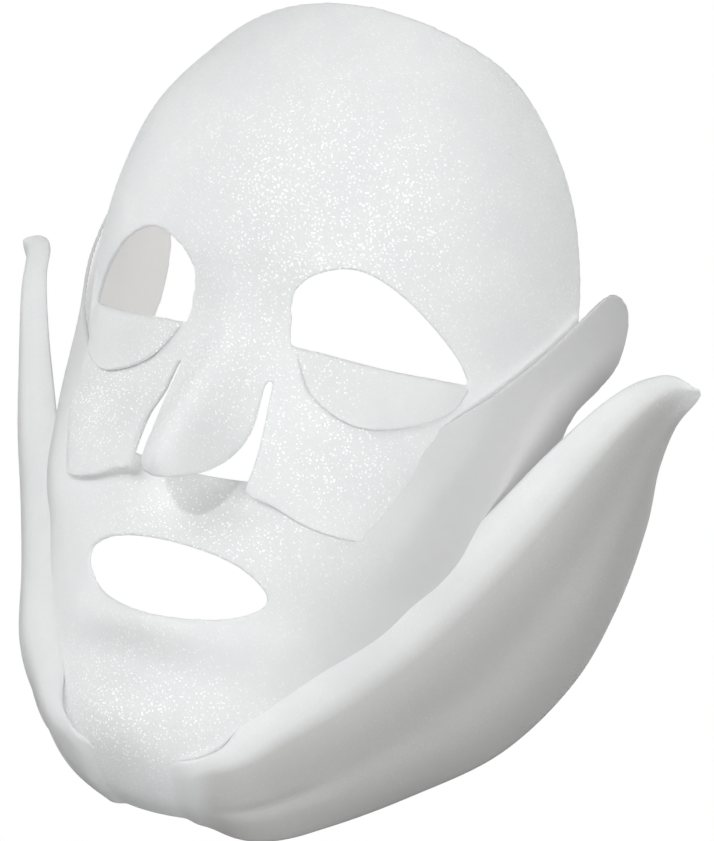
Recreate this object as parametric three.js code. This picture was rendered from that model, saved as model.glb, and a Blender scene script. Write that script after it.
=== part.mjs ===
// A two-piece gel sheet mask in its worn shape, with nothing under it. The upper sheet covers the forehead, temples
// and cheeks. The lower sheet covers the upper lip and chin, and divides at each side into a cheek wing, which ends in
// an ear tab, and a jaw wing.
// Millimetres, +Z up, the face looks towards -Y, the wearer's left is +X, and the origin is midway between the ears.
import * as THREE from 'three';

// Driving dimensions, in mm
const SHEET = 1.2; // thickness of the gel
const SEAM = 0.3; // gap left open at a crease
const LAYER_GAP = 0.4; // gap between a folded flap and the sheet under it
const LOBE_LIFT = 2.6; // how far the cheek lobes stand off the head, over the lower sheet
const WING_LIFT = 2.8; // how far the cheek wings stand off the head, over the upper sheet
const AXIS_Y = -10; // the head form's upright axis
const RADIUS = 86; // nominal head radius, which turns an angle into a distance around the head
const CELL = 5.2; // mesh spacing on the sheets
const FINE_CELL = 3.4; // mesh spacing on the nose flap, the eye flaps and the ear tabs
const WING_STEPS = [26, 9]; // mesh cells along and across a jaw wing

// Where the two sheets divide, as distances around and along the head form
const NOSE_CREASE = 4; // height of the crease across the bridge of the nose
const LID_CREASE = 14.5; // height of the crease along the lower lid
const WING_ROOT = 48.5; // distance around the head to where a cheek wing starts to rise over the upper sheet
const TAB_CREASE = 87; // distance around the head to the crease of an ear tab
const CHIN_CREASE = 14.5; // distance around the head to the crease of a jaw wing
const CHIN_SLIT = -100; // where the slit beside the chin ends
const CHIN_HEM = -118; // the lower sheet's bottom edge, under the chin

// Where one layer rides over another, each rise is spread over a strip this wide
const LOBE_RISE = [-2, -12]; // heights between which a cheek lobe lifts off the head
const LOBE_SIDE = [58, 50]; // distances around the head between which a cheek lobe lifts off
const WING_RISE = [-42, -26]; // heights between which a cheek wing lifts off
const WING_RUN = 7; // distance over which a cheek wing lifts off behind its root
const JAW_GAP = 1.2; // gap between a jaw wing's crease and the chin

// Sections through the head form, from the top of the forehead to under the chin. `along` is the place on the front
// profile, which is its height down to the chin, y and z are the front point, width is half the width at the axis,
// sideZ is the height there, and round is the exponent of the section's superellipse.
const SECTIONS = [
  { along: -132, y: -56, z: -110, width: 44, sideZ: -84, round: 2.0 },
  { along: -118, y: -72, z: -108, width: 48, sideZ: -76, round: 2.0 },
  { along: -106, y: -84, z: -104, width: 51, sideZ: -70, round: 2.0 },
  { along: -94, y: -93, z: -94, width: 54, sideZ: -63, round: 2.05 },
  { along: -75, y: -97, z: -75, width: 59, sideZ: -53, round: 2.1 },
  { along: -55, y: -98, z: -55, width: 64, sideZ: -44, round: 2.2 },
  { along: -35, y: -98, z: -35, width: 68, sideZ: -31, round: 2.3 },
  { along: -12, y: -97, z: -12, width: 71, sideZ: -11, round: 2.3 },
  { along: 14, y: -97, z: 14, width: 73, sideZ: 14, round: 2.3 },
  { along: 32, y: -100, z: 32, width: 74, sideZ: 32, round: 2.3 },
  { along: 52, y: -101, z: 52, width: 73, sideZ: 52, round: 2.3 },
  { along: 72, y: -98, z: 72, width: 68, sideZ: 72, round: 2.3 },
  { along: 90, y: -89, z: 90, width: 57, sideZ: 90, round: 2.25 },
  { along: 105, y: -77, z: 105, width: 45, sideZ: 104, round: 2.2 },
  { along: 116, y: -64, z: 116, width: 33, sideZ: 113, round: 2.2 },
];

// Relief on the front of the head form: soft mounds at |x| and z, with their height and half sizes
const RELIEF = [
  { name: 'brow', x: 26, z: 35, height: 2.5, wide: 24, high: 9 },
  { name: 'eye socket', x: 35, z: 14, height: -4.5, wide: 18, high: 11 },
  { name: 'cheekbone', x: 40, z: -8, height: 2, wide: 16, high: 14 },
  { name: 'upper lip', x: 0, z: -44, height: 4, wide: 24, high: 9 },
  { name: 'lower lip', x: 0, z: -63, height: 4.5, wide: 20, high: 6 },
  { name: 'fold under the lip', x: 0, z: -74, height: -2, wide: 22, high: 6 },
  { name: 'chin', x: 0, z: -88, height: 5, wide: 20, high: 12 },
];

// The nose along the profile: its height above the cheeks and its half width
const NOSE = {
  z: [-48, -36, -29, -22, -13, -2, 8, 18, 30],
  height: [0, 8, 19, 23, 21, 14, 8, 3.5, 0],
  wide: [12, 12, 12, 11.5, 10.5, 9.5, 8.5, 9, 12],
};

// A jaw wing's two long edges for the wearer's left, from its crease at the chin to its tip by the ear, and how far
// the gel between them bows outwards
const JAW_WING = [
  { upper: [25, -92, -90], lower: [25, -68, -111], bow: 4 },
  { upper: [33, -87, -77], lower: [37, -52, -101], bow: 7 },
  { upper: [41, -82, -64], lower: [50, -34, -87], bow: 9 },
  { upper: [50, -74, -48], lower: [65, -20, -70], bow: 9 },
  { upper: [60, -68, -31], lower: [78, -16, -48], bow: 8 },
  { upper: [70, -63, -14], lower: [86, -19, -26], bow: 7 },
  { upper: [80, -59, 4], lower: [90, -23, -5], bow: 5 },
  { upper: [89, -53, 20], lower: [93, -26, 10], bow: 3 },
  { upper: [96, -44, 32], lower: [97, -30, 22], bow: 1 },
  { upper: [104, -36, 35], lower: [103, -30, 29], bow: 0 },
];

const GEL = { color: 0xeef0f1, roughness: 0.4, metalness: 0 };

// A smooth curve through values at rising places
function spline(places, values, at) {
  const last = places.length - 1;
  const x = THREE.MathUtils.clamp(at, places[0], places[last]);
  let i = 0;
  while (i < last - 1 && x > places[i + 1]) i += 1;
  const slope = (k) => {
    const before = Math.max(k - 1, 0);
    const after = Math.min(k + 1, last);
    return (values[after] - values[before]) / (places[after] - places[before]);
  };
  const h = places[i + 1] - places[i];
  const t = (x - places[i]) / h;
  return (2 * t ** 3 - 3 * t ** 2 + 1) * values[i] + (t ** 3 - 2 * t ** 2 + t) * h * slope(i)
    + (3 * t ** 2 - 2 * t ** 3) * values[i + 1] + (t ** 3 - t ** 2) * h * slope(i + 1);
}

// 0 before from, 1 after to, smooth between; from may be above to
function ramp(from, to, at) {
  const t = THREE.MathUtils.clamp((at - from) / (to - from), 0, 1);
  return t * t * (3 - 2 * t);
}

const sectionPlaces = SECTIONS.map((s) => s.along);
const sectionValues = Object.fromEntries(
  ['y', 'z', 'width', 'sideZ', 'round'].map((key) => [key, SECTIONS.map((s) => s[key])]),
);

function noseRelief(x, z) {
  return spline(NOSE.z, NOSE.height, z) * Math.exp(-((x / spline(NOSE.z, NOSE.wide, z)) ** 2));
}

function relief(x, z) {
  let out = 0;
  for (const mound of RELIEF) {
    const aside = (Math.abs(x) - mound.x) / mound.wide;
    const above = (z - mound.z) / mound.high;
    out += mound.height * Math.exp(-(aside ** 2) - above ** 2);
  }
  return out;
}

// A point on the head form without its nose, from the distance around it (+ to the wearer's left) and the place along
// its profile
function headPoint(around, along) {
  const at = Object.fromEntries(
    Object.entries(sectionValues).map(([key, values]) => [key, spline(sectionPlaces, values, along)]),
  );
  const angle = around / RADIUS;
  const depth = AXIS_Y - at.y;
  const reach = (Math.abs(Math.sin(angle) / at.width) ** at.round + Math.abs(Math.cos(angle) / depth) ** at.round)
    ** (-1 / at.round);
  const x = reach * Math.sin(angle);
  const forward = reach * Math.cos(angle);
  const z = at.z + (at.sideZ - at.z) * (1 - forward / depth);
  return new THREE.Vector3(x, AXIS_Y - forward - relief(x, z), z);
}

function nosePoint(around, along) {
  const point = headPoint(around, along);
  point.y -= noseRelief(point.x, point.z);
  return point;
}

// The outward direction of a surface given as a function of two distances
function normalOf(surface, a, b) {
  const step = 0.5;
  const across = surface(a + step, b).sub(surface(a - step, b));
  const up = surface(a, b + step).sub(surface(a, b - step));
  return across.cross(up).normalize();
}

// The gel's inner face at a lift above a form
const liftedFace = (form, lift) => (a, b) => {
  const normal = normalOf(form, a, b);
  return { point: form(a, b).addScaledVector(normal, lift(a, b)), normal };
};

const curveThrough = (points, steps) => new THREE.SplineCurve(points.map(([x, y]) => new THREE.Vector2(x, y)))
  .getPoints(steps);

// A closed outline as a list of points, from the points a curve passes through. A point with a third value is a corner.
function outline(points) {
  const start = points.findIndex((p) => p[2]);
  if (start < 0) return curveThrough([...points, points[0]], 90);
  const turned = [...points.slice(start), ...points.slice(0, start)];
  const found = [];
  let run = [turned[0]];
  for (const p of [...turned.slice(1), turned[0]]) {
    run.push(p);
    if (p[2]) {
      found.push(...curveThrough(run, run.length * 6).slice(0, -1));
      run = [p];
    }
  }
  return found;
}

const mirrored = (points) => points.map(([x, ...rest]) => [-x, ...rest]).reverse();

// The distance from a point to an outline, negative inside
function distanceTo(polygon, x, y) {
  let nearest = Infinity;
  let inside = false;
  for (let i = 0, j = polygon.length - 1; i < polygon.length; j = i, i += 1) {
    const { x: ax, y: ay } = polygon[j];
    const { x: bx, y: by } = polygon[i];
    const along = ((x - ax) * (bx - ax) + (y - ay) * (by - ay)) / ((bx - ax) ** 2 + (by - ay) ** 2 || 1);
    const t = THREE.MathUtils.clamp(along, 0, 1);
    nearest = Math.min(nearest, Math.hypot(x - ax - t * (bx - ax), y - ay - t * (by - ay)));
    if (ay > y !== by > y && x < ax + ((y - ay) * (bx - ax)) / (by - ay)) inside = !inside;
  }
  return inside ? -nearest : nearest;
}

// A closed solid of the gel's thickness over a net of flat cells. Each cell's corners run anticlockwise from outside.
function closedSheet(points, cells) {
  const inner = points.map(({ point }) => point);
  const outer = points.map(({ point, normal }) => point.clone().addScaledVector(normal, SHEET));
  const count = points.length;
  const faces = [];
  const edges = new Map();
  for (const cell of cells) {
    for (let i = 1; i < cell.length - 1; i += 1) {
      faces.push([cell[0], cell[i], cell[i + 1]].map((v) => v + count));
      faces.push([cell[0], cell[i + 1], cell[i]]);
    }
    cell.forEach((from, i) => {
      const to = cell[(i + 1) % cell.length];
      if (!edges.delete(`${to},${from}`)) edges.set(`${from},${to}`, [from, to]);
    });
  }
  for (const [from, to] of edges.values()) {
    faces.push([from, to, to + count], [from, to + count, from + count]);
  }
  const places = [...inner, ...outer].flatMap((p) => p.toArray());
  const geometry = new THREE.BufferGeometry();
  geometry.setAttribute('position', new THREE.Float32BufferAttribute(places, 3));
  geometry.setIndex(faces.flat());
  geometry.computeVertexNormals();
  return geometry;
}

// A closed sheet over the part of a surface where away(a, b) is negative. Net points near the edge are drawn onto it.
function cutSheet(away, face, cell) {
  const reach = 140;
  const steps = Math.ceil(reach / cell);
  const number = new Map();
  const points = [];
  const place = (i, j) => {
    let a = i * cell;
    let b = j * cell;
    const first = away(a, b);
    if (first > 0.55 * cell) return null;
    if (first > -0.55 * cell) {
      for (let k = 0; k < 3; k += 1) {
        const off = away(a, b);
        const across = away(a + 0.1, b) - away(a - 0.1, b);
        const up = away(a, b + 0.1) - away(a, b - 0.1);
        const size = Math.hypot(across, up) || 1;
        a -= (off * across) / size;
        b -= (off * up) / size;
      }
    }
    return [a, b];
  };
  const at = new Map();
  for (let i = -steps; i <= steps; i += 1) {
    for (let j = -steps; j <= steps; j += 1) at.set(`${i},${j}`, place(i, j));
  }
  const cells = [];
  for (let i = -steps; i < steps; i += 1) {
    for (let j = -steps; j < steps; j += 1) {
      const keys = [`${i},${j}`, `${i + 1},${j}`, `${i + 1},${j + 1}`, `${i},${j + 1}`].filter((key) => at.get(key));
      const corners = keys.map((key) => at.get(key));
      const middle = [0, 1].map((k) => corners.reduce((sum, c) => sum + c[k], 0) / corners.length);
      if (keys.length > 2 && away(...middle) < -0.05 * cell) {
        cells.push(keys.map((key) => {
          if (!number.has(key)) {
            number.set(key, points.length);
            points.push(face(...at.get(key)));
          }
          return number.get(key);
        }));
      }
    }
  }
  return closedSheet(points, cells);
}

// Half outlines on the wearer's left, as distances around and along the head form
const EYE_HOLE = [[15, LID_CREASE, 1], [13.5, 24], [19, 33], [29, 36.5], [41, 33], [56, 23], [62, LID_CREASE + 2, 1],
  [39, LID_CREASE]];
const EYE_FLAP = [[16, LID_CREASE - 0.5, 1], [39, LID_CREASE - 0.5], [62, LID_CREASE + 1.5, 1], [59, 8], [49, 1],
  [37, -2], [24, 3]];
const NOSE_FLAP = [[-12, NOSE_CREASE - SEAM, 1], [-13, -11], [-9, -22.5], [0, -27.5], [9, -22.5], [13, -11],
  [12, NOSE_CREASE - SEAM, 1]];
const NOSE_CUT = [[13.2, NOSE_CREASE, 1], [15.5, -12], [15.5, -26, 1]];
const UPPER_SIDE = [[32, -30], [45, -29], [49, -24], [45.5, -12], [51, -2], [57, 4.5, 1], [62, -9], [70, -18],
  [84, -20], [93, -12], [96, 4], [95, 22], [91, 40], [86, 56], [79, 72], [68, 87.5], [53, 98], [28, 104], [0, 105.5]];
const MOUTH = [[-26, -50], [-18, -44], [0, -42], [18, -44], [27, -51], [18, -58], [0, -61], [-18, -58]];
const LOWER_TOP = [[0, -23], [14, -22], [30, -19], [46, -12], [54.5, -2], [62, 8], [71, 19], [82, 32], [90, 42],
  [96.5, 48.5]];
const EAR_TAB = [[103, 51.5], [109.5, 49], [112, 42.5], [108.5, 35.5], [101, 29], [97, 21.5]];
const WING_BACK = [[95, 11], [96.5, 0], [97, -12], [95, -24], [88, -40], [72, -59], [54, -76], [38, -86], [24, -93],
  [17, -97], [CHIN_CREASE, CHIN_SLIT, 1]];

// Parts of the head form that each sheet covers
const upperEdge = outline([...UPPER_SIDE, ...mirrored(UPPER_SIDE.slice(0, -1)),
  ...mirrored(NOSE_CUT), ...NOSE_CUT]);
const eyeEdges = [outline(EYE_HOLE), outline(mirrored(EYE_HOLE))];
const lowerSide = [...LOWER_TOP.slice(1), ...EAR_TAB, ...WING_BACK];
const lowerEdge = outline([[0, -23], ...lowerSide, [CHIN_CREASE, CHIN_HEM, 1],
  [-CHIN_CREASE, CHIN_HEM, 1], ...mirrored(lowerSide)]);
const mouthEdge = outline(MOUTH);

const upperCover = (a, b) => Math.max(distanceTo(upperEdge, a, b), ...eyeEdges.map((eye) => -distanceTo(eye, a, b)));
const lowerCover = (a, b) => Math.max(distanceTo(lowerEdge, a, b), -distanceTo(mouthEdge, a, b));

// The lobes of the upper sheet ride over the lower sheet, and the cheek wings ride over the upper sheet
const upperLift = (a, b) => LOBE_LIFT * ramp(...LOBE_RISE, b) * ramp(...LOBE_SIDE, Math.abs(a));
const wingLift = (a, b) => WING_LIFT * ramp(WING_ROOT, WING_ROOT + WING_RUN, Math.abs(a)) * ramp(...WING_RISE, b);
const flapLift = () => SHEET + LAYER_GAP;

// A jaw wing's stations, starting from its crease beside the chin
const jawStations = [
  {
    upper: headPoint(CHIN_CREASE + JAW_GAP, CHIN_SLIT - 1).toArray(),
    lower: headPoint(CHIN_CREASE + JAW_GAP, CHIN_HEM).toArray(),
    bow: 1,
  },
  ...JAW_WING,
];
const jawPlaces = jawStations.map((_, i) => i / (jawStations.length - 1));

// A point on a jaw wing's upper or lower edge
const jawEdge = (key, along) => new THREE.Vector3(
  ...[0, 1, 2].map((axis) => spline(jawPlaces, jawStations.map((s) => s[key][axis]), along)),
);

// A jaw wing's surface, from 0 to 1 along and across it
function jawWingPoint(side, along, across) {
  const upper = jawEdge('upper', along);
  const lower = jawEdge('lower', along);
  const run = jawEdge('upper', Math.min(along + 0.02, 1)).sub(jawEdge('upper', Math.max(along - 0.02, 0)));
  const outwards = run.cross(upper.clone().sub(lower)).normalize();
  const bow = spline(jawPlaces, jawStations.map((s) => s.bow), along) * 4 * across * (1 - across);
  const point = lower.lerp(upper, across).addScaledVector(outwards, bow);
  point.x *= side;
  return point;
}

function jawWing(side) {
  const [long, wide] = WING_STEPS;
  const surface = (a, b) => jawWingPoint(side, a, b);
  const points = [];
  const cells = [];
  for (let i = 0; i <= long; i += 1) {
    for (let j = 0; j <= wide; j += 1) {
      const [a, b] = [i / long, j / wide];
      const step = 0.01;
      const run = surface(Math.min(a + step, 1), b).sub(surface(Math.max(a - step, 0), b));
      const rise = surface(a, Math.min(b + step, 1)).sub(surface(a, Math.max(b - step, 0)));
      points.push({ point: surface(a, b), normal: run.cross(rise).normalize().multiplyScalar(side) });
      const corner = i * (wide + 1) + j;
      const loop = [corner, corner + wide + 1, corner + wide + 2, corner + 1];
      if (i < long && j < wide) cells.push(side > 0 ? loop : loop.reverse());
    }
  }
  return closedSheet(points, cells);
}

// The lower sheet lies between the creases of the two ear tabs
const lowerSheet = () => cutSheet(
  (a, b) => Math.max(lowerCover(a, b), Math.abs(a) - TAB_CREASE + SEAM / 2),
  liftedFace(headPoint, wingLift),
  CELL,
);
const earTab = (side) => cutSheet(
  (a, b) => Math.max(lowerCover(a, b), TAB_CREASE + SEAM / 2 - side * a),
  liftedFace(headPoint, wingLift),
  FINE_CELL,
);

function flap(points, lift) {
  const edge = outline(points);
  return cutSheet((a, b) => distanceTo(edge, a, b), liftedFace(nosePoint, lift), FINE_CELL);
}

function part(name, geometry) {
  const mesh = new THREE.Mesh(geometry, new THREE.MeshStandardMaterial(GEL));
  mesh.name = name;
  return mesh;
}

const mask = new THREE.Group();
mask.add(part('upper_sheet', cutSheet(upperCover, liftedFace(nosePoint, upperLift), CELL)));
mask.add(part('nose_flap', flap(NOSE_FLAP, () => 0)));
mask.add(part('lower_sheet', lowerSheet()));
for (const [name, side] of [['left', 1], ['right', -1]]) {
  mask.add(part(`eye_flap_${name}`, flap(side > 0 ? EYE_FLAP : mirrored(EYE_FLAP), flapLift)));
  mask.add(part(`ear_tab_${name}`, earTab(side)));
  mask.add(part(`jaw_wing_${name}`, jawWing(side)));
}

export default mask;
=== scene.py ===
"""A two-piece gel sheet mask in its worn shape, laid over a head that isn't there, in plain studio light."""

import math
from collections import Counter

import bmesh
import bpy
import numpy as np
from mathutils import Matrix, Vector


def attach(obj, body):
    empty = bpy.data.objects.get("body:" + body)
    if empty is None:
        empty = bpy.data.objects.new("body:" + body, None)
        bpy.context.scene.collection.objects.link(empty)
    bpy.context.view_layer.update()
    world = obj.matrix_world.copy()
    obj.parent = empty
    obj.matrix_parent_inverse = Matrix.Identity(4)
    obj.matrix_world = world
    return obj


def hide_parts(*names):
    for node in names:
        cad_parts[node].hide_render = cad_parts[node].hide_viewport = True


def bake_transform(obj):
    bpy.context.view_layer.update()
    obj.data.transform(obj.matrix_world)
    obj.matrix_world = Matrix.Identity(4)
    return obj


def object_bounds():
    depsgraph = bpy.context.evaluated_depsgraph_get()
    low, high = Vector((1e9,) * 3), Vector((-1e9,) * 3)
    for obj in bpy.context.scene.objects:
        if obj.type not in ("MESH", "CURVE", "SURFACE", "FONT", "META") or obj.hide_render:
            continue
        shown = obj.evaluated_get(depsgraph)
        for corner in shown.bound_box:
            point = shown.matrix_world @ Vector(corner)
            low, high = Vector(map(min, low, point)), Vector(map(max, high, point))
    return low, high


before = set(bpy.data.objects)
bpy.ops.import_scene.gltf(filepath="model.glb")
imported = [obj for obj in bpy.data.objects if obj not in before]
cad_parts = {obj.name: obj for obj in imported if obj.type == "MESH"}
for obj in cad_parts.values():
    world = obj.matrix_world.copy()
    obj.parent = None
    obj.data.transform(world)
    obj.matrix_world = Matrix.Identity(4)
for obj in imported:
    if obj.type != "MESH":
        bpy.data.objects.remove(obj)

CAD_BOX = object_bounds()

bl_info = {
    "name": "Gel sheet mask",
    "version": (1, 0, 0),
    "blender": (4, 5, 0),
    "location": "3D View > Sidebar > Sheet mask",
    "description": "Builds a two-piece gel sheet mask with its flaps, tabs and jaw wings",
    "category": "Object",
}

MM = 0.001

# The head form, in mm: the outward axis, the nominal radius that turns an angle into a distance, and the sections from
# under the chin to the top of the forehead. `along` is the place on the front profile.
AXIS_Y = -10
RADIUS = 86
SECTION_KEYS = ("along", "y", "z", "width", "side_z", "round")
SECTIONS = np.array(
    [
        (-132, -56, -110, 44, -84, 2.0),
        (-118, -72, -108, 48, -76, 2.0),
        (-106, -84, -104, 51, -70, 2.0),
        (-94, -93, -94, 54, -63, 2.05),
        (-75, -97, -75, 59, -53, 2.1),
        (-55, -98, -55, 64, -44, 2.2),
        (-35, -98, -35, 68, -31, 2.3),
        (-12, -97, -12, 71, -11, 2.3),
        (14, -97, 14, 73, 14, 2.3),
        (32, -100, 32, 74, 32, 2.3),
        (52, -101, 52, 73, 52, 2.3),
        (72, -98, 72, 68, 72, 2.3),
        (90, -89, 90, 57, 90, 2.25),
        (105, -77, 105, 45, 104, 2.2),
        (116, -64, 116, 33, 113, 2.2),
    ]
)

# Soft mounds on the front of the form: |x|, z, height, half width, half height
RELIEF = {
    "brow": (26, 35, 2.5, 24, 9),
    "eye socket": (35, 14, -4.5, 18, 11),
    "cheekbone": (40, -8, 2, 16, 14),
    "upper lip": (0, -44, 4, 24, 9),
    "lower lip": (0, -63, 4.5, 20, 6),
    "fold under the lip": (0, -74, -2, 22, 6),
    "chin": (0, -88, 5, 20, 12),
}
NOSE_Z = (-48, -36, -29, -22, -13, -2, 8, 18, 30)
NOSE_HEIGHT = (0, 8, 19, 23, 21, 14, 8, 3.5, 0)
NOSE_WIDE = (12, 12, 12, 11.5, 10.5, 9.5, 8.5, 9, 12)

# Where the sheets divide and where their layers lift, as distances around and along the form
NOSE_CREASE = 4
NOSE_SPLIT = 14.2
LID_LINE = ((15, 14.5), (39, 14.5), (62, 16.5))
TAB_SPLIT = 82.6
CHIN_SPLIT = 11.2
CHIN_SLIT = -97
CHIN_HEM = -118

# How far, in mm, the layers stand off the form: the two cheek lobes, the cheek wings, and the lower sheet where it
# goes under the upper one, which sinks in instead
LEFT_LOBE_LIFT, RIGHT_LOBE_LIFT = 1.1, 2.3
CHEEK_WING_LIFT = 2.6
UNDER_SINK = 0.5

# The flat net of the lower sheet holds a jaw wing beyond this, as the place along it from 0 to 1 added to it
JAW = 1000
JAW_COLUMNS = 112
JAW_ROOT = 0.035
JAW_ROOT_REACH = 4.5

# Outlines of the wearer's left half. A point with a third value is a corner.
EYE_HOLE = (
    (15, 14.5, 1), (14.2, 19.5), (14.6, 21.5), (13.4, 23.5), (14.4, 25.6), (14, 27.5), (19, 33), (29, 36.5), (41, 33),
    (56, 23), (62, 16.5, 1), (39, 14.5),
)  # fmt: skip
EYE_FLAP = ((16, 14, 1), (39, 14), (62.5, 16.2, 1), (59, 8), (49, 1), (37, -2), (24, 3))
NOSE_FLAP = (
    (12.2, 9, 1), (12.2, 3), (13, -11), (9, -22.5), (0, -27.5), (-9, -22.5), (-13, -11), (-12.2, 3), (-12.2, 9, 1),
)  # fmt: skip
NOSE_CUT = ((13.6, 4, 1), (15.5, -12), (15.5, -26, 1))
UPPER_SIDE = (
    (22, -27), (32, -30), (43, -30.5), (52, -28), (61, -23), (70, -20), (84, -20), (93, -12),
    (96, 4), (95, 22), (91, 40), (86, 56), (79, 72), (68, 87.5), (53, 98), (28, 104), (0, 105.5),
)  # fmt: skip
# The right side goes further round the head than the left
UPPER_RIGHT_SIDE = (
    (-27, 102), (-50, 95), (-67, 85), (-80, 71), (-95, 58), (-112, 46), (-117, 34), (-116, 20), (-108, 6), (-96, -6),
    (-84, -20), (-70, -20), (-61, -23), (-52, -28), (-43, -30.5), (-32, -30), (-22, -27),
)  # fmt: skip
MOUTH = ((-26, -50), (-18, -44), (0, -42), (18, -44), (27, -51), (18, -58), (0, -61), (-18, -58))
LOWER_TOP = ((14, -22), (30, -19), (42, -12), (50, -4), (57, 3), (63, 9.5), (71, 19), (82, 32), (90, 42), (96.5, 48.5))
EAR_TAB = ((101.5, 50), (107, 47.5), (109.5, 41), (108.5, 33), (103, 25.5), (97.5, 19))
WING_BACK = (
    (95, 11), (96.5, 0), (97, -12), (95, -24), (88, -41), (72, -62), (54, -81), (38, -94), (24, -101), (16, -101),
    (CHIN_SPLIT, CHIN_SLIT, 1),
)  # fmt: skip

# A jaw wing's upper edge, lower edge and outward bow, from the chin to the tip, for the wearer's left
JAW_WING = (
    ((25, -92, -90), (25, -67, -111), 3),
    ((33, -87, -77), (37, -51, -101), 6),
    ((41, -82, -64), (50, -34, -87), 9),
    ((50, -74, -48), (65, -20, -70), 9),
    ((60, -68, -31), (78, -16, -48), 8),
    ((70, -63, -14), (86, -19, -26), 7),
    ((80, -59, 4), (90, -23, -5), 5),
    ((89, -53, 20), (92.5, -30, 10), 3),
    ((95.5, -44, 30), (96.5, -34.5, 22), 1.5),
    ((101.5, -38, 33), (102, -34.5, 29.5), 0.5),
)


# The point in front of the face that the camera aims beside, and how far beside and above it, in metres
AIM = (0, -0.09, 0)
AIM_RIGHT, AIM_UP = 0.0323, 0.0011

# Soft lights: place and diameter in metres, and power in watts
LIGHTS = {
    "key": ((-0.9, -1.5, 0.9), 1.4, 14),
    "top": ((0.1, -0.4, 1.7), 1.6, 10),
    "fill": ((1.7, -0.9, 0.1), 1.8, 24),
    "low": ((0.2, -0.9, -1.4), 1.6, 13),
    "rear": ((0.2, 1.7, 0.5), 1.8, 14),
    "side": ((-1.8, -0.2, 0.0), 1.6, 15),
    "glint": ((-0.2, -1.9, 0.55), 0.12, 7),
}


# ---------------------------------------------------------------- the form


def spline(places, values, at):
    """A smooth curve through values at rising places."""
    x, v = np.asarray(places, float), np.asarray(values, float)
    at = np.clip(at, x[0], x[-1])
    i = np.clip(np.searchsorted(x, at, side="left") - 1, 0, len(x) - 2)
    k = np.arange(len(x))
    before, after = np.maximum(k - 1, 0), np.minimum(k + 1, len(x) - 1)
    slope = (v[after] - v[before]) / (x[after] - x[before])
    h = x[i + 1] - x[i]
    t = (at - x[i]) / h
    return (
        (2 * t**3 - 3 * t**2 + 1) * v[i]
        + (t**3 - 2 * t**2 + t) * h * slope[i]
        + (3 * t**2 - 2 * t**3) * v[i + 1]
        + (t**3 - t**2) * h * slope[i + 1]
    )


def ramp(start, stop, at):
    """0 before start, 1 after stop, smooth between; start may be above stop."""
    t = np.clip((np.asarray(at, float) - start) / (stop - start), 0, 1)
    return t * t * (3 - 2 * t)


def bell(middle, half, at):
    return np.exp(-(((at - middle) / half) ** 2))


def head_point(around, along):
    """Points on the head form without its nose, in mm."""
    around, along = np.broadcast_arrays(np.asarray(around, float), np.asarray(along, float))
    at = {key: spline(SECTIONS[:, 0], SECTIONS[:, i], along) for i, key in enumerate(SECTION_KEYS)}
    angle = around / RADIUS
    depth = AXIS_Y - at["y"]
    power = at["round"]
    reach = (np.abs(np.sin(angle) / at["width"]) ** power + np.abs(np.cos(angle) / depth) ** power) ** (-1 / power)
    x = reach * np.sin(angle)
    forward = reach * np.cos(angle)
    z = at["z"] + (at["side_z"] - at["z"]) * (1 - forward / depth)
    mounds = sum(h * bell(mx, wide, np.abs(x)) * bell(mz, high, z) for mx, mz, h, wide, high in RELIEF.values())
    return np.stack([x, AXIS_Y - forward - mounds, z], -1)


def nose_point(around, along):
    """Points on the head form with its nose, in mm."""
    point = head_point(around, along)
    x, z = point[..., 0], point[..., 2]
    point[..., 1] -= spline(NOSE_Z, NOSE_HEIGHT, z) * bell(0, spline(NOSE_Z, NOSE_WIDE, z), x)
    return point


def outward(form, around, along):
    """Unit normals of a form, away from the head."""
    step = 0.5
    across = form(around + step, along) - form(around - step, along)
    up = form(around, along + step) - form(around, along - step)
    normal = np.cross(across, up)
    return normal / np.linalg.norm(normal, axis=-1, keepdims=True)


# ---------------------------------------------------------------- outlines


def curve_through(points, steps):
    """Points of a smooth open curve."""
    p = np.array([q[:2] for q in points], float)
    return np.stack([spline(range(len(p)), p[:, k], np.linspace(0, len(p) - 1, steps)) for k in (0, 1)], -1)


def outline(points):
    """A closed outline through points, with corners where a point has a third value."""
    corners = [i for i, p in enumerate(points) if len(p) > 2]
    if not corners:
        ring = list(points) + list(points[:3])
        return curve_through([points[-1], *ring], 12 * len(ring) + 13)[12:-24]
    turned = list(points[corners[0] :]) + list(points[: corners[0] + 1])
    found, run = [], [turned[0]]
    for p in turned[1:]:
        run.append(p)
        if len(p) > 2:
            found.append(curve_through(run, len(run) * 8)[:-1])
            run = [p]
    return np.concatenate(found)


def mirrored(points):
    return [(-p[0], *p[1:]) for p in reversed(points)]


def distance(ring, a, b):
    """Signed distances from points to an outline, negative inside."""
    start, stop = ring, np.roll(ring, -1, axis=0)
    run = stop - start
    length = (run**2).sum(1) + 1e-12
    nearest = np.full(a.shape, np.inf)
    inside = np.zeros(a.shape, bool)
    for (sx, sy), (ex, ey), (dx, dy), size in zip(start, stop, run, length, strict=True):
        t = np.clip(((a - sx) * dx + (b - sy) * dy) / size, 0, 1)
        nearest = np.minimum(nearest, np.hypot(a - sx - t * dx, b - sy - t * dy))
        if sy != ey:
            crosses = ((sy > b) != (ey > b)) & (a < sx + (b - sy) * dx / dy)
            inside ^= crosses
    return np.where(inside, -nearest, nearest)


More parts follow.
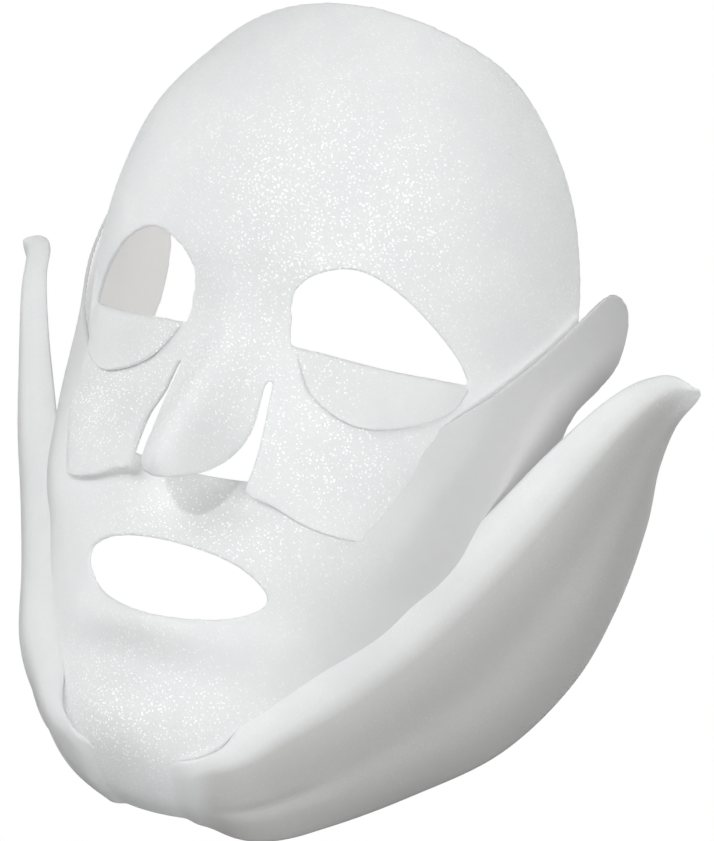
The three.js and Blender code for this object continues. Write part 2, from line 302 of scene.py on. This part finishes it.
UPPER_RING = outline([*UPPER_SIDE, *UPPER_RIGHT_SIDE, *mirrored(NOSE_CUT), *NOSE_CUT])
NOSE_RING = outline(NOSE_FLAP)
EYE_RINGS = (outline(EYE_HOLE), outline(mirrored(EYE_HOLE)))
LOWER_HALF = (*LOWER_TOP, *EAR_TAB, *WING_BACK)
LOWER_RING = outline(
    [(0, -23), *LOWER_HALF, (CHIN_SPLIT, CHIN_HEM, 1), (-CHIN_SPLIT, CHIN_HEM, 1), *mirrored(LOWER_HALF)]
)
MOUTH_RING = outline(MOUTH)


def upper_away(a, b):
    sheet = np.minimum(distance(UPPER_RING, a, b), distance(NOSE_RING, a, b))
    return np.maximum.reduce([sheet, *(-distance(ring, a, b) for ring in EYE_RINGS)])


def lower_away(a, b):
    return np.maximum(distance(LOWER_RING, a, b), -distance(MOUTH_RING, a, b))


# ---------------------------------------------------------------- sheets


def cut_net(cell, reach, away):
    """A flat net over a pattern in mm, with its edge drawn onto the line where away is 0."""
    (a0, a1), (b0, b1) = reach
    net = bmesh.new()
    bmesh.ops.create_grid(net, x_segments=round((a1 - a0) / cell), y_segments=round((b1 - b0) / cell), size=1)
    middle = Matrix.Translation(((a0 + a1) / 2, (b0 + b1) / 2, 0))
    bmesh.ops.transform(net, matrix=middle @ Matrix.Diagonal(((a1 - a0) / 2, (b1 - b0) / 2, 1, 1)), verts=net.verts)
    centres = np.array([f.calc_center_median()[:2] for f in net.faces])
    outside = away(centres[:, 0], centres[:, 1]) > -0.04 * cell
    bmesh.ops.delete(net, geom=[f for f, out in zip(net.faces, outside, strict=True) if out], context="FACES")
    while pinched := {f for v in net.verts if sum(e.is_boundary for e in v.link_edges) > 2 for f in v.link_faces}:
        bmesh.ops.delete(net, geom=list(pinched), context="FACES")
    for _ in range(4):
        edge = [v for v in net.verts if v.is_boundary]
        places = np.array([v.co[:2] for v in edge])
        for _ in range(3):
            off = away(*places.T)
            slope = np.stack([away(*(places + step).T) - away(*(places - step).T) for step in np.eye(2) * 0.05], -1)
            size = np.maximum(np.linalg.norm(slope, axis=1), 1e-6)
            places -= slope / size[:, None] * np.clip(off, -cell, cell)[:, None]
        for v, place in zip(edge, places, strict=True):
            v.co.x, v.co.y = place
        inner = [v for v in net.verts if not v.is_boundary and near_edge(v)]
        for _ in range(3):
            bmesh.ops.smooth_vert(net, verts=inner, factor=0.5, use_axis_x=True, use_axis_y=True)
    return net


def near_edge(v):
    """Whether a vertex lies within two cells of the edge."""
    ring = [e.other_vert(v) for e in v.link_edges]
    return any(w.is_boundary or any(e.other_vert(w).is_boundary for e in w.link_edges) for w in ring)


def mark_parts(net, tests):
    """Numbers the faces of a flat net: 1 and up where a test holds at a face's middle, and 0 elsewhere."""
    part = net.faces.layers.int.new("part")
    for f in net.faces:
        a, b = f.calc_center_median()[:2]
        f[part] = next((number for number, test in enumerate(tests, 1) if test(a, b)), 0)
    pinched = [None]
    while pinched:
        cuts = [e for e in net.edges if len({f[part] for f in e.link_faces}) > 1]
        edges = [e for e in net.edges if e.is_boundary]
        times = Counter(v for e in cuts for v in e.verts)
        at_edge = {v for e in edges for v in e.verts}
        pinched = {v for v, count in times.items() if count > (1 if v in at_edge else 2)}
        for f in {f for v in pinched for f in v.link_faces}:
            f[part] = 0


def part_area(net, number):
    """The area of the gel that one part of a laid net stands for, in square metres."""
    part = net.faces.layers.int["part"]
    return sum(f.calc_area() for f in net.faces if f[part] == number)


def lay(net, place, stored):
    """Lays a flat net onto a form. place gives points in mm, and stored the values that each vertex keeps."""
    flat = np.array([v.co[:2] for v in net.verts])
    points = place(*flat.T) * MM
    layers = {name: net.verts.layers.float.new(name) for name in stored}
    values = {name: function(*flat.T) for name, function in stored.items()}
    for i, v in enumerate(net.verts):
        v.co = points[i]
        for name, layer in layers.items():
            v[layer] = float(values[name][i])


def thick_object(name, net, settings, thin=None):
    """An object from an open net: the net is its inner face, and the gel stands outwards from it with round edges."""
    mesh = bpy.data.meshes.new(name)
    net.to_mesh(mesh)
    net.free()
    made = bpy.data.objects.new(name, mesh)
    bpy.context.scene.collection.objects.link(made)
    made.data.materials.append(gel_outside())
    made.data.materials.append(gel_inside_glowing())
    solid = made.modifiers.new("Gel", "SOLIDIFY")
    solid.thickness = settings.thickness
    solid.offset = 1
    solid.use_even_offset = True
    solid.material_offset = 1
    solid.material_offset_rim = 0
    if thin is not None:
        group = made.vertex_groups.new(name="thickness")
        for i, share in enumerate(thin):
            group.add([i], float(share), "REPLACE")
        solid.vertex_group = "thickness"
        solid.thickness_vertex_group = 0.12
    round_edge = made.modifiers.new("Round edges", "SUBSURF")
    round_edge.levels = round_edge.render_levels = 1
    finished = bpy.data.meshes.new_from_object(made.evaluated_get(bpy.context.evaluated_depsgraph_get()))
    made.modifiers.clear()
    made.vertex_groups.clear()
    made.data = finished
    finished.name = name
    finished.shade_smooth()
    return made


def parted(made, names):
    """Parts a finished sheet by its faces' numbers: 0 stays with the sheet, and 1 and up become new objects."""
    whole = bmesh.new()
    whole.from_mesh(made.data)
    normals = {tuple(round(c, 7) for c in v.co): v.normal.copy() for v in whole.verts}
    whole.free()
    meshes = []
    for number, name in enumerate((made.name, *names)):
        work = bmesh.new()
        work.from_mesh(made.data)
        marks = work.faces.layers.int["part"]
        bmesh.ops.delete(work, geom=[f for f in work.faces if f[marks] != number], context="FACES")
        cap = bmesh.ops.holes_fill(work, edges=[e for e in work.edges if e.is_boundary], sides=0)["faces"]
        for f in cap:
            f.smooth = False
            for e in f.edges:
                e.smooth = False
        bmesh.ops.triangulate(work, faces=cap)
        mesh = bpy.data.meshes.new(name)
        work.to_mesh(mesh)
        work.free()
        for material in made.data.materials:
            mesh.materials.append(material)
        custom = [
            normals[tuple(round(c, 7) for c in mesh.vertices[v].co)] if p.use_smooth else p.normal.copy()
            for p in mesh.polygons
            for v in p.vertices
        ]
        mesh.normals_split_custom_set(custom)
        meshes.append(mesh)
    made.data = meshes[0]
    parts = [bpy.data.objects.new(mesh.name, mesh) for mesh in meshes[1:]]
    for part in parts:
        bpy.context.scene.collection.objects.link(part)
    return parts


def crossing(b):
    """How far out from the middle the cheek lobe goes under the cheek wing."""
    return 41 + np.clip((b + 28) * 0.45, 0, 13)


def lobe_lift(a, b):
    """The lift of a cheek lobe over the lower sheet."""
    lift = np.where(a > 0, LEFT_LOBE_LIFT, RIGHT_LOBE_LIFT)
    return lift * ramp(-3, -12, b) * ramp(crossing(b) + 11, crossing(b), np.abs(a)) * ramp(13.4, 17, np.abs(a))


def wing_lift(a, b):
    """The lift of a cheek wing over the upper sheet, which starts where the lobe goes under it."""
    rise = CHEEK_WING_LIFT + UNDER_SINK
    wing = rise * ramp(crossing(b), crossing(b) + 15, np.abs(a)) * ramp(-46, -26, b)
    return wing - UNDER_SINK * ramp(-38, -29, b)


def upper_place(a, b):
    """The upper sheet. Its right side goes further round the head and curls in a little."""
    point = nose_point(a, b) + outward(nose_point, a, b) * lobe_lift(a, b)[:, None]
    point[:, 0] += 12 * ramp(-92, -128, a)
    return point


def lower_place(a, b):
    """The lower sheet and, for |a| from JAW, the jaw wings, where b holds the place across."""
    sheet = head_point(a, b) + outward(head_point, a, b) * wing_lift(a, b)[:, None]
    wing = jaw_place(np.sign(a), np.clip(np.abs(a) - JAW, 0, 1), np.clip(b, 0, 1))
    return np.where((np.abs(a) >= JAW)[:, None], wing, sheet)


def painted_shade_lower(a, b):
    """Painted shade on the lower sheet and its jaw wings, from 0 to 1: greyer towards the cheek wings' outer ends and
    down each jaw wing, fading in from the chin and out towards the tip, lighter along a jaw wing's upper edge where
    light falls on it, and weaker on the right wing.
    """
    wing = np.where(a > 0, 0.5 * ramp(22, 66, a), 0.5 * ramp(-46, -66, a))
    along, across = np.abs(a) - JAW, b
    # Painted shade down the jaw wing, lighter at its upper edge where the light falls
    jaw = ramp(0, 0.12, along) * (0.85 - 0.8 * ramp(0.8, 0.9, across)) * ramp(1.1, 0.85, along)
    jaw = np.where(a > 0, jaw, 0.55 * jaw)
    return np.where(along >= 0, jaw, wing)


def dew_and_glint_upper(a, b):
    """How much liquid and grain the upper sheet has, from 0 to 1; painted glints also go where this is high, on the
    brow, the bridge of the nose and the cheeks.
    """
    brow = 1.4 * bell(17, 27, a) * bell(50, 26, b)
    bridge = bell(0, 12, a) * bell(4, 16, b)
    cheek = bell(33, 17, np.abs(a)) * bell(-10, 12, b)
    return np.clip(0.12 + brow + 0.7 * bridge + 1.1 * cheek, 0, 1)


def dew_and_glint_lower(a, b):
    """How much liquid and grain the lower sheet and its jaw wings have, from 0 to 1; painted glints also go where this
    is high, over the upper lip and on the chin.
    """
    lip = bell(8, 26, a) * bell(-36, 12, b)
    chin = bell(0, 22, a) * bell(-84, 14, b)
    sheet = np.clip(0.08 + 0.8 * lip + 0.9 * chin, 0, 1) * ramp(62, 42, np.abs(a))
    wing = 0.05 + 0.2 * ramp(JAW + 0.8, JAW + 1, np.abs(a))
    return np.where(np.abs(a) >= JAW, wing, sheet)


# ---------------------------------------------------------------- materials


class Wire:
    """A value in a material's node tree that can be used in sums."""

    def __init__(self, paint, socket):
        self.paint = paint
        self.socket = socket

    def _maths(self, operation, *values, clamp=False):
        settings = {"operation": operation, "use_clamp": clamp}
        return self.paint.node("ShaderNodeMath", settings, dict(enumerate(values)))

    def __add__(self, other):
        return self._maths("ADD", self, other)

    def __sub__(self, other):
        return self._maths("SUBTRACT", self, other)

    def __mul__(self, other):
        return self._maths("MULTIPLY", self, other)

    def __rsub__(self, other):
        return self._maths("SUBTRACT", other, self)

    __radd__ = __add__
    __rmul__ = __mul__

    def between(self, low, high):
        """0 at low and 1 at high, clamped."""
        return self._maths("MULTIPLY", self - low, 1 / (high - low), clamp=True)


class Paint:
    """A new material and the nodes in it."""

    def __init__(self, name):
        self.material = bpy.data.materials.new(name)
        self.material.use_nodes = True
        self.tree = self.material.node_tree
        self.tree.nodes.clear()

    def node(self, kind, settings=None, inputs=None, output=0):
        """A node with its settings made first, then its sockets' values or links; gives back one output."""
        made = self.tree.nodes.new(kind)
        for key, value in (settings or {}).items():
            setattr(made, key, value)
        for key, value in (inputs or {}).items():
            if isinstance(value, Wire):
                self.tree.links.new(value.socket, made.inputs[key])
            else:
                made.inputs[key].default_value = value
        return None if output is None else Wire(self, made.outputs[output])

    def mix(self, share, first, second):
        """A colour between two colours."""
        return self.node("ShaderNodeMix", {"data_type": "RGBA"}, {0: share, 6: first, 7: second}, output=2)

    def finish(self, shader):
        """The finished material."""
        self.node("ShaderNodeOutputMaterial", {}, {"Surface": shader}, output=None)
        return self.material


def gel_outside():
    """The outer face: white gel with a fine grain and beads of liquid where dew_and_glint is high, painted glints on
    the beads there, and painted shade where the free attribute is high.
    """
    found = bpy.data.materials.get("gel_outside")
    if found:
        return found
    settings = bpy.context.scene.gel_sheet
    paint = Paint("gel_outside")
    place = paint.node("ShaderNodeTexCoord", output=3)
    dew_and_glint = paint.node("ShaderNodeAttribute", {"attribute_name": "dew_and_glint"}, output=2)
    grain = paint.node("ShaderNodeTexNoise", {}, {"Vector": place, "Scale": 1500, "Detail": 3, "Roughness": 0.65})
    mottle = paint.node("ShaderNodeTexNoise", {}, {"Vector": place, "Scale": 55, "Detail": 4, "Roughness": 0.55})
    beads = paint.node("ShaderNodeTexVoronoi", {}, {"Vector": place, "Scale": 1150, "Randomness": 1})
    bead = (0.42 - beads).between(0, 0.42)
    wet_and_glint = dew_and_glint * (mottle.between(0.3, 0.7) * 0.6 + 0.4)
    height = grain * (wet_and_glint * 0.5 + 0.6) + bead * wet_and_glint * 0.6 + mottle * 0.9
    bump = paint.node("ShaderNodeBump", {}, {"Strength": 0.85, "Distance": 0.0003, "Height": height})
    # Painted glints: white dots at the beads' middles where the liquid lies and the grain is high; they go into the
    # colour and glow, so they show whatever the light
    painted_glint = (0.36 - beads).between(0, 0.12) * wet_and_glint * grain.between(0.47, 0.55)
    # The free attribute carries painted shade: greyer gel where the light falls less
    free = paint.node("ShaderNodeAttribute", {"attribute_name": "free"}, output=2)
    lying = paint.mix(mottle.between(0.3, 0.7), (*settings.shade, 1), (*settings.tone, 1))
    gel = paint.mix(free.between(0, 1), lying, (*settings.free, 1))
    colour = paint.mix(painted_glint, gel, (1, 1, 1, 1))
    shader = paint.node(
        "ShaderNodeBsdfPrincipled",
        {},
        {
            "Base Color": colour,
            "Roughness": 0.5 - wet_and_glint * (bead * 0.2 + 0.12),
            "Specular IOR Level": 0.5,
            "IOR": 1.36,
            # The painted glints also glow white
            "Emission Color": paint.mix(painted_glint, (0, 0, 0, 1), (1, 1, 1, 1)),
            "Emission Strength": 0.6,
            "Normal": bump,
        },
    )
    return paint.finish(shader)


def gel_inside_glowing():
    """The inner face, which is matt and a little warmer, and glows faintly as painted light."""
    found = bpy.data.materials.get("gel_inside_glowing")
    if found:
        return found
    settings = bpy.context.scene.gel_sheet
    paint = Paint("gel_inside_glowing")
    place = paint.node("ShaderNodeTexCoord", output=3)
    weave = paint.node("ShaderNodeTexNoise", {}, {"Vector": place, "Scale": 900, "Detail": 2, "Roughness": 0.5})
    mottle = paint.node("ShaderNodeTexNoise", {}, {"Vector": place, "Scale": 60, "Detail": 3, "Roughness": 0.5})
    bump = paint.node("ShaderNodeBump", {}, {"Strength": 0.3, "Distance": 0.0002, "Height": weave + mottle})
    colour = paint.mix(mottle.between(0.3, 0.7), (*settings.lining, 1), tuple(c * 1.04 for c in settings.lining) + (1,))
    shader = paint.node(
        "ShaderNodeBsdfPrincipled",
        {},
        {
            "Base Color": colour,
            "Roughness": 0.6 + mottle * 0.1,
            # A faint glow in the lining's colour, painted light that lifts the inner face out of its shade
            "Emission Color": (*settings.lining, 1),
            "Emission Strength": 0.3,
            "Normal": bump,
        },
    )
    return paint.finish(shader)


def floor_white():
    """The pale floor, which glows enough to stay white."""
    paint = Paint("floor_white")
    white = (1, 1, 1, 1)
    shader = paint.node(
        "ShaderNodeBsdfPrincipled",
        {},
        {"Base Color": (0.9, 0.9, 0.9, 1), "Roughness": 0.9, "Emission Color": white, "Emission Strength": 1.0},
    )
    return paint.finish(shader)


# ---------------------------------------------------------------- settings


class GelSheetSettings(bpy.types.PropertyGroup):
    thickness: bpy.props.FloatProperty(
        name="Gel thickness", description="Thickness of the gel", default=0.0012, min=0.0005, max=0.003, unit="LENGTH"
    )
    cell: bpy.props.FloatProperty(
        name="Mesh spacing", description="Spacing of the sheets' net, in mm", default=1.4, min=1, max=4
    )
    tone: bpy.props.FloatVectorProperty(
        name="Gel white", description="Colour of the gel where it is thick", default=(0.845, 0.856, 0.858), size=3,
        subtype="COLOR", min=0, max=1,
    )  # fmt: skip
    shade: bpy.props.FloatVectorProperty(
        name="Gel shade", description="Colour of the gel where it is thin", default=(0.8, 0.813, 0.82), size=3,
        subtype="COLOR", min=0, max=1,
    )  # fmt: skip
    # Painted shade: the grey that the free attribute mixes into the gel where less light falls
    free: bpy.props.FloatVectorProperty(
        name="Gel in painted shade", description="Colour painted on the gel where it is shaded", default=(0.5, 0.5, 0.49),
        size=3, subtype="COLOR", min=0, max=1,
    )  # fmt: skip
    lining: bpy.props.FloatVectorProperty(
        name="Lining", description="Colour of the inner face", default=(0.84, 0.835, 0.83), size=3, subtype="COLOR",
        min=0, max=1,
    )  # fmt: skip


class StudioSettings(bpy.types.PropertyGroup):
    azimuth: bpy.props.FloatProperty(
        name="Azimuth", description="Camera's turn from straight in front, to the wearer's left",
        default=math.radians(28), subtype="ANGLE",
    )  # fmt: skip
    elevation: bpy.props.FloatProperty(
        name="Elevation", description="Camera's height angle", default=math.radians(-4), subtype="ANGLE"
    )
    roll: bpy.props.FloatProperty(
        name="Roll", description="Lean of the head in the view", default=math.radians(15), subtype="ANGLE"
    )
    away: bpy.props.FloatProperty(
        name="Camera distance", description="Distance of the camera", default=2.4, unit="LENGTH"
    )
    view_height: bpy.props.FloatProperty(
        name="View height", description="Height of what the camera sees", default=0.2156, unit="LENGTH"
    )


# ---------------------------------------------------------------- operators


class SHEETMASK_OT_upper(bpy.types.Operator):
    """Makes the upper sheet and the nose flap that is cut out of it"""

    bl_idname = "sheetmask.upper"
    bl_label = "Upper sheet and nose flap"

    def execute(self, context):
        settings = context.scene.gel_sheet
        cell = settings.cell
        net = cut_net(cell, ((-86 * cell, 70 * cell), (4 - 28 * cell, 4 + 76 * cell)), upper_away)
        mark_parts(net, [lambda a, b: abs(a) < NOSE_SPLIT and b < NOSE_CREASE])
        flat = np.array([v.co[:2] for v in net.verts])
        thin = 0.5 + 0.5 * ramp(-31, -23, flat[:, 1])
        # The right side is painted greyer, as shade, where it goes furthest round the head
        lay(net, upper_place, {"dew_and_glint": dew_and_glint_upper, "free": lambda a, b: 0.55 * ramp(-92, -105, a)})
        area, nose_area = part_area(net, 0), part_area(net, 1)
        upper = thick_object("upper_sheet_gel", net, settings, thin=thin)
        (nose,) = parted(upper, ["nose_flap_gel"])
        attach(upper, "upper")
        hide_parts("upper_sheet")
        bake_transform(nose)
        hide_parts("nose_flap")
        return {"FINISHED"}


def jaw_stations():
    """The jaw wing's edges with two stations on the chin before them."""
    root = []
    for a in (CHIN_SPLIT, CHIN_SPLIT + JAW_ROOT_REACH):
        root.append((tuple(head_point(a, CHIN_SLIT)), tuple(head_point(a, CHIN_HEM)), 0))
    return [*root, *JAW_WING]


def jaw_place(side, u, t):
    """Points on a jaw wing's inner face, for 0 to 1 along it and 0 to 1 across it from its lower edge."""
    # The tip is rounded by drawing its two edges together
    t = 0.55 + (t - 0.55) * np.sqrt(np.maximum(1 - np.clip((u - 0.91) / 0.09, 0, 1) ** 2, 0.05))
    stations = jaw_stations()
    places = np.array([0, JAW_ROOT, *np.linspace(0.12, 1, len(JAW_WING))])

    def edge(which, at):
        return np.stack([spline(places, [s[which][k] for s in stations], at) for k in range(3)], -1)

    upper, lower = edge(0, u), edge(1, u)
    run = edge(0, np.minimum(u + 0.01, 1)) - edge(0, np.maximum(u - 0.01, 0))
    normal = np.cross(run, upper - lower)
    normal /= np.linalg.norm(normal, axis=-1, keepdims=True)

    # The blade bows out, its upper edge rolls in to a lip, and a valley and a crease run lengthwise
    bow = spline(places, [s[2] for s in stations], u) * 4 * t * (1 - t)
    body = ramp(0.03, 0.2, u)
    end = 0.35 + 0.65 * ramp(1.0, 0.85, u)
    lip = -6.0 * body * end * ramp(0.8, 1.04, t) ** 1.4
    valley = -2.4 * body * bell(0.5, 0.16, t) * bell(0.45, 0.3, u)
    crease = -1.8 * bell(0.34 + 0.35 * u, 0.03, t) * bell(0.17, 0.12, u)
    point = lower + (upper - lower) * t[..., None] + normal * (bow + lip + valley + crease)[..., None]

    # The right wing stands further out and is drawn up below the chin
    right = side < 0
    point[..., 0] += 2.5 * bell(0.3, 0.17, u) * right
    point[..., 2] += 8 * bell(0.14, 0.09, u) * (1 - t) * right

    # Near its root the wing follows the chin, a little off it
    around = CHIN_SPLIT + u / JAW_ROOT * JAW_ROOT_REACH
    slit = CHIN_SLIT + 0.5 * (around - CHIN_SPLIT)
    off = outward(head_point, CHIN_SPLIT, -108) * 1.8 * ramp(0.004, 0.06, u)[..., None]
    chin = head_point(around, CHIN_HEM + (slit - CHIN_HEM) * t) + off
    share = ramp(0.2, 0.02, u)[..., None]
    point = point * (1 - share) + chin * share
    point[..., 0] *= side
    return point


def draw_out_jaw_wing(net, side):
    """Draws a jaw wing out of the chin's side edge, column by column."""
    edges = [
        e for e in net.edges
        if e.is_boundary and all(abs(v.co.x - side * CHIN_SPLIT) < 0.4 and v.co.y < CHIN_SLIT + 0.7 for v in e.verts)
    ]  # fmt: skip
    for column in range(1, JAW_COLUMNS + 1):
        drawn = bmesh.ops.extrude_edge_only(net, edges=edges)["geom"]
        for v in (v for v in drawn if isinstance(v, bmesh.types.BMVert)):
            if column == 1:
                v.co.y = (v.co.y - CHIN_HEM) / (CHIN_SLIT - CHIN_HEM)
            v.co.x = side * (JAW + column / JAW_COLUMNS)
        edges = [e for e in drawn if isinstance(e, bmesh.types.BMEdge)]


class SHEETMASK_OT_lower(bpy.types.Operator):
    """Makes the lower sheet with its cheek wings, the ear tabs at their ends, and the two jaw wings"""

    bl_idname = "sheetmask.lower"
    bl_label = "Lower sheet, ear tabs and jaw wings"

    def execute(self, context):
        settings = context.scene.gel_sheet
        cell = settings.cell
        net = cut_net(cell, ((-82 * cell, 82 * cell), (CHIN_HEM - cell, CHIN_HEM + 123 * cell)), lower_away)
        for side in (1, -1):
            draw_out_jaw_wing(net, side)
        tests = {
            "ear_tab_left": lambda a, b: TAB_SPLIT < a < JAW / 2,
            "ear_tab_right": lambda a, b: TAB_SPLIT < -a < JAW / 2,
            "jaw_wing_left": lambda a, b: a > JAW / 2,
            "jaw_wing_right": lambda a, b: -a > JAW / 2,
        }
        mark_parts(net, tests.values())
        lay(net, lower_place, {"dew_and_glint": dew_and_glint_lower, "free": painted_shade_lower})
        area, *areas = (part_area(net, number) for number in range(1 + len(tests)))
        areas = dict(zip(tests, areas, strict=True))
        lower = thick_object("lower_sheet_gel", net, settings)
        parts = dict(zip(tests, parted(lower, [f"{node}_gel" for node in tests]), strict=True))
        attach(lower, "lower")
        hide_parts("lower_sheet")
        for node, part in parts.items():
            side = 1 if node.endswith("left") else -1
            if node.startswith("ear_tab"):
                start, end = (side * 0.068, -0.056, 0.008), (side * 0.0725, -0.049, 0.008)
            else:
                start, end = (side * 0.0115, -0.088, -0.1), (side * 0.024, -0.084, -0.1)
            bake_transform(part)
            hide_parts(node)
        return {"FINISHED"}


class SHEETMASK_OT_eye_flaps(bpy.types.Operator):
    """Makes the two eye flaps, folded down over the lower lids with a soft roll at the fold"""

    bl_idname = "sheetmask.eye_flaps"
    bl_label = "Eye flaps"

    def execute(self, context):
        settings = context.scene.gel_sheet
        cell = 0.9
        ring = outline(EYE_FLAP)
        for name, side in (("left", 1), ("right", -1)):

            def radius(a):
                return 0.62 + 0.6 * ramp(14, 24, a) * ramp(64, 50, a)

            def crease(a):
                return spline([p[0] for p in LID_LINE], [p[1] for p in LID_LINE], a)

            def away(a, q):
                roll = math.pi * radius(a)
                flap = distance(ring, a, crease(a) - 0.6 - np.maximum(q - roll, 0))
                return np.maximum(flap, -q)

            def place(a, q, side=side):
                r = radius(a)
                roll = math.pi * r
                turn = np.clip(q / roll, 0, 1) * math.pi
                down = np.maximum(q - roll, 0)
                along = crease(a) - 0.9 + r * np.sin(turn) - down
                lift = r * (1 - np.cos(turn)) + 0.3 * bell(5, 4, down) * (q > roll)
                point = nose_point(a, along) + outward(nose_point, a, along) * lift[:, None]
                point[:, 0] *= side
                return point

            net = cut_net(cell, ((14.4, 64.8), (-0.9, 21.6)), away)
            if side < 0:
                bmesh.ops.reverse_faces(net, faces=net.faces)
            # The eye flaps get a slight, even painted shade through free
            lay(net, place, {"dew_and_glint": lambda a, q: 0.45 * ramp(44, 22, a) + 0.06, "free": lambda a, q: 0.1 + 0 * a})
            area = sum(f.calc_area() for f in net.faces)
            flap = thick_object(f"eye_flap_{name}_gel", net, settings)
            flap.data.materials[1] = gel_outside()
            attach(flap, f"eye_flap_{name}")
            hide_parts(f"eye_flap_{name}")
        return {"FINISHED"}


class SHEETMASK_OT_studio(bpy.types.Operator):
    """Makes the camera, the pale floor, the white surround and the soft lights"""

    bl_idname = "sheetmask.studio"
    bl_label = "Studio"

    def execute(self, context):
        scene = context.scene
        studio = scene.studio
        az, el, roll = studio.azimuth, studio.elevation, studio.roll
        forward = Vector((-math.sin(az) * math.cos(el), math.cos(az) * math.cos(el), -math.sin(el)))
        right = Vector((math.cos(az), math.sin(az), 0))
        up = right.cross(forward)
        aim = Vector(AIM) + right * AIM_RIGHT + up * AIM_UP
        turned_up = up * math.cos(roll) - right * math.sin(roll)
        turned_right = right * math.cos(roll) + up * math.sin(roll)
        lens = bpy.data.cameras.new("camera")
        lens.sensor_width = 36
        lens.lens = 36 * studio.away / studio.view_height
        lens.clip_end = 20
        camera = bpy.data.objects.new("camera", lens)
        scene.collection.objects.link(camera)
        axes = Matrix((turned_right, turned_up, -forward)).transposed()
        camera.matrix_world = Matrix.Translation(aim - forward * studio.away) @ axes.to_4x4()
        scene.camera = camera

        plane = bmesh.new()
        bmesh.ops.create_grid(plane, x_segments=1, y_segments=1, size=4)
        bmesh.ops.translate(plane, vec=(0, 0, CAD_BOX[0][2] - 0.15), verts=plane.verts)
        mesh = bpy.data.meshes.new("floor")
        plane.to_mesh(mesh)
        plane.free()
        floor = bpy.data.objects.new("floor", mesh)
        floor.data.materials.append(floor_white())
        scene.collection.objects.link(floor)
        floor.visible_diffuse = floor.visible_glossy = floor.visible_shadow = False

        scene.world = bpy.data.worlds.new("surround")
        scene.world.use_nodes = True
        surround = scene.world.node_tree.nodes["Background"].inputs
        surround["Color"].default_value = (1, 1, 1, 1)
        surround["Strength"].default_value = 1.0
        scene.world.cycles_visibility.diffuse = False
        scene.world.cycles_visibility.glossy = False
        scene.view_settings.view_transform = "Standard"

        for name, (place, size, power) in LIGHTS.items():
            lamp = bpy.data.lights.new(name, "AREA")
            lamp.shape = "DISK"
            lamp.size = size
            lamp.energy = power
            light = bpy.data.objects.new(name, lamp)
            light.location = place
            light.rotation_euler = (Vector((0, -0.05, 0)) - Vector(place)).to_track_quat("-Z", "Y").to_euler()
            scene.collection.objects.link(light)
        return {"FINISHED"}


class SHEETMASK_PT_panel(bpy.types.Panel):
    """The mask's settings and its pieces"""

    bl_idname = "SHEETMASK_PT_panel"
    bl_label = "Gel sheet mask"
    bl_space_type = "VIEW_3D"
    bl_region_type = "UI"
    bl_category = "Sheet mask"

    def draw(self, context):
        for group in (context.scene.gel_sheet, context.scene.studio):
            for key in group.__annotations__:
                self.layout.prop(group, key)
        for piece in PIECES:
            self.layout.operator(piece.bl_idname)


PIECES = (
    SHEETMASK_OT_studio,
    SHEETMASK_OT_upper,
    SHEETMASK_OT_lower,
    SHEETMASK_OT_eye_flaps,
)
CLASSES = (GelSheetSettings, StudioSettings, *PIECES, SHEETMASK_PT_panel)


def register():
    for cls in CLASSES:
        bpy.utils.register_class(cls)
    bpy.types.Scene.gel_sheet = bpy.props.PointerProperty(type=GelSheetSettings)
    bpy.types.Scene.studio = bpy.props.PointerProperty(type=StudioSettings)


def unregister():
    del bpy.types.Scene.studio
    del bpy.types.Scene.gel_sheet
    for cls in reversed(CLASSES):
        bpy.utils.unregister_class(cls)


def main():
    register()
    bpy.ops.sheetmask.studio()
    bpy.ops.sheetmask.upper()
    bpy.ops.sheetmask.lower()
    bpy.ops.sheetmask.eye_flaps()


if __name__ == "__main__":
    main()
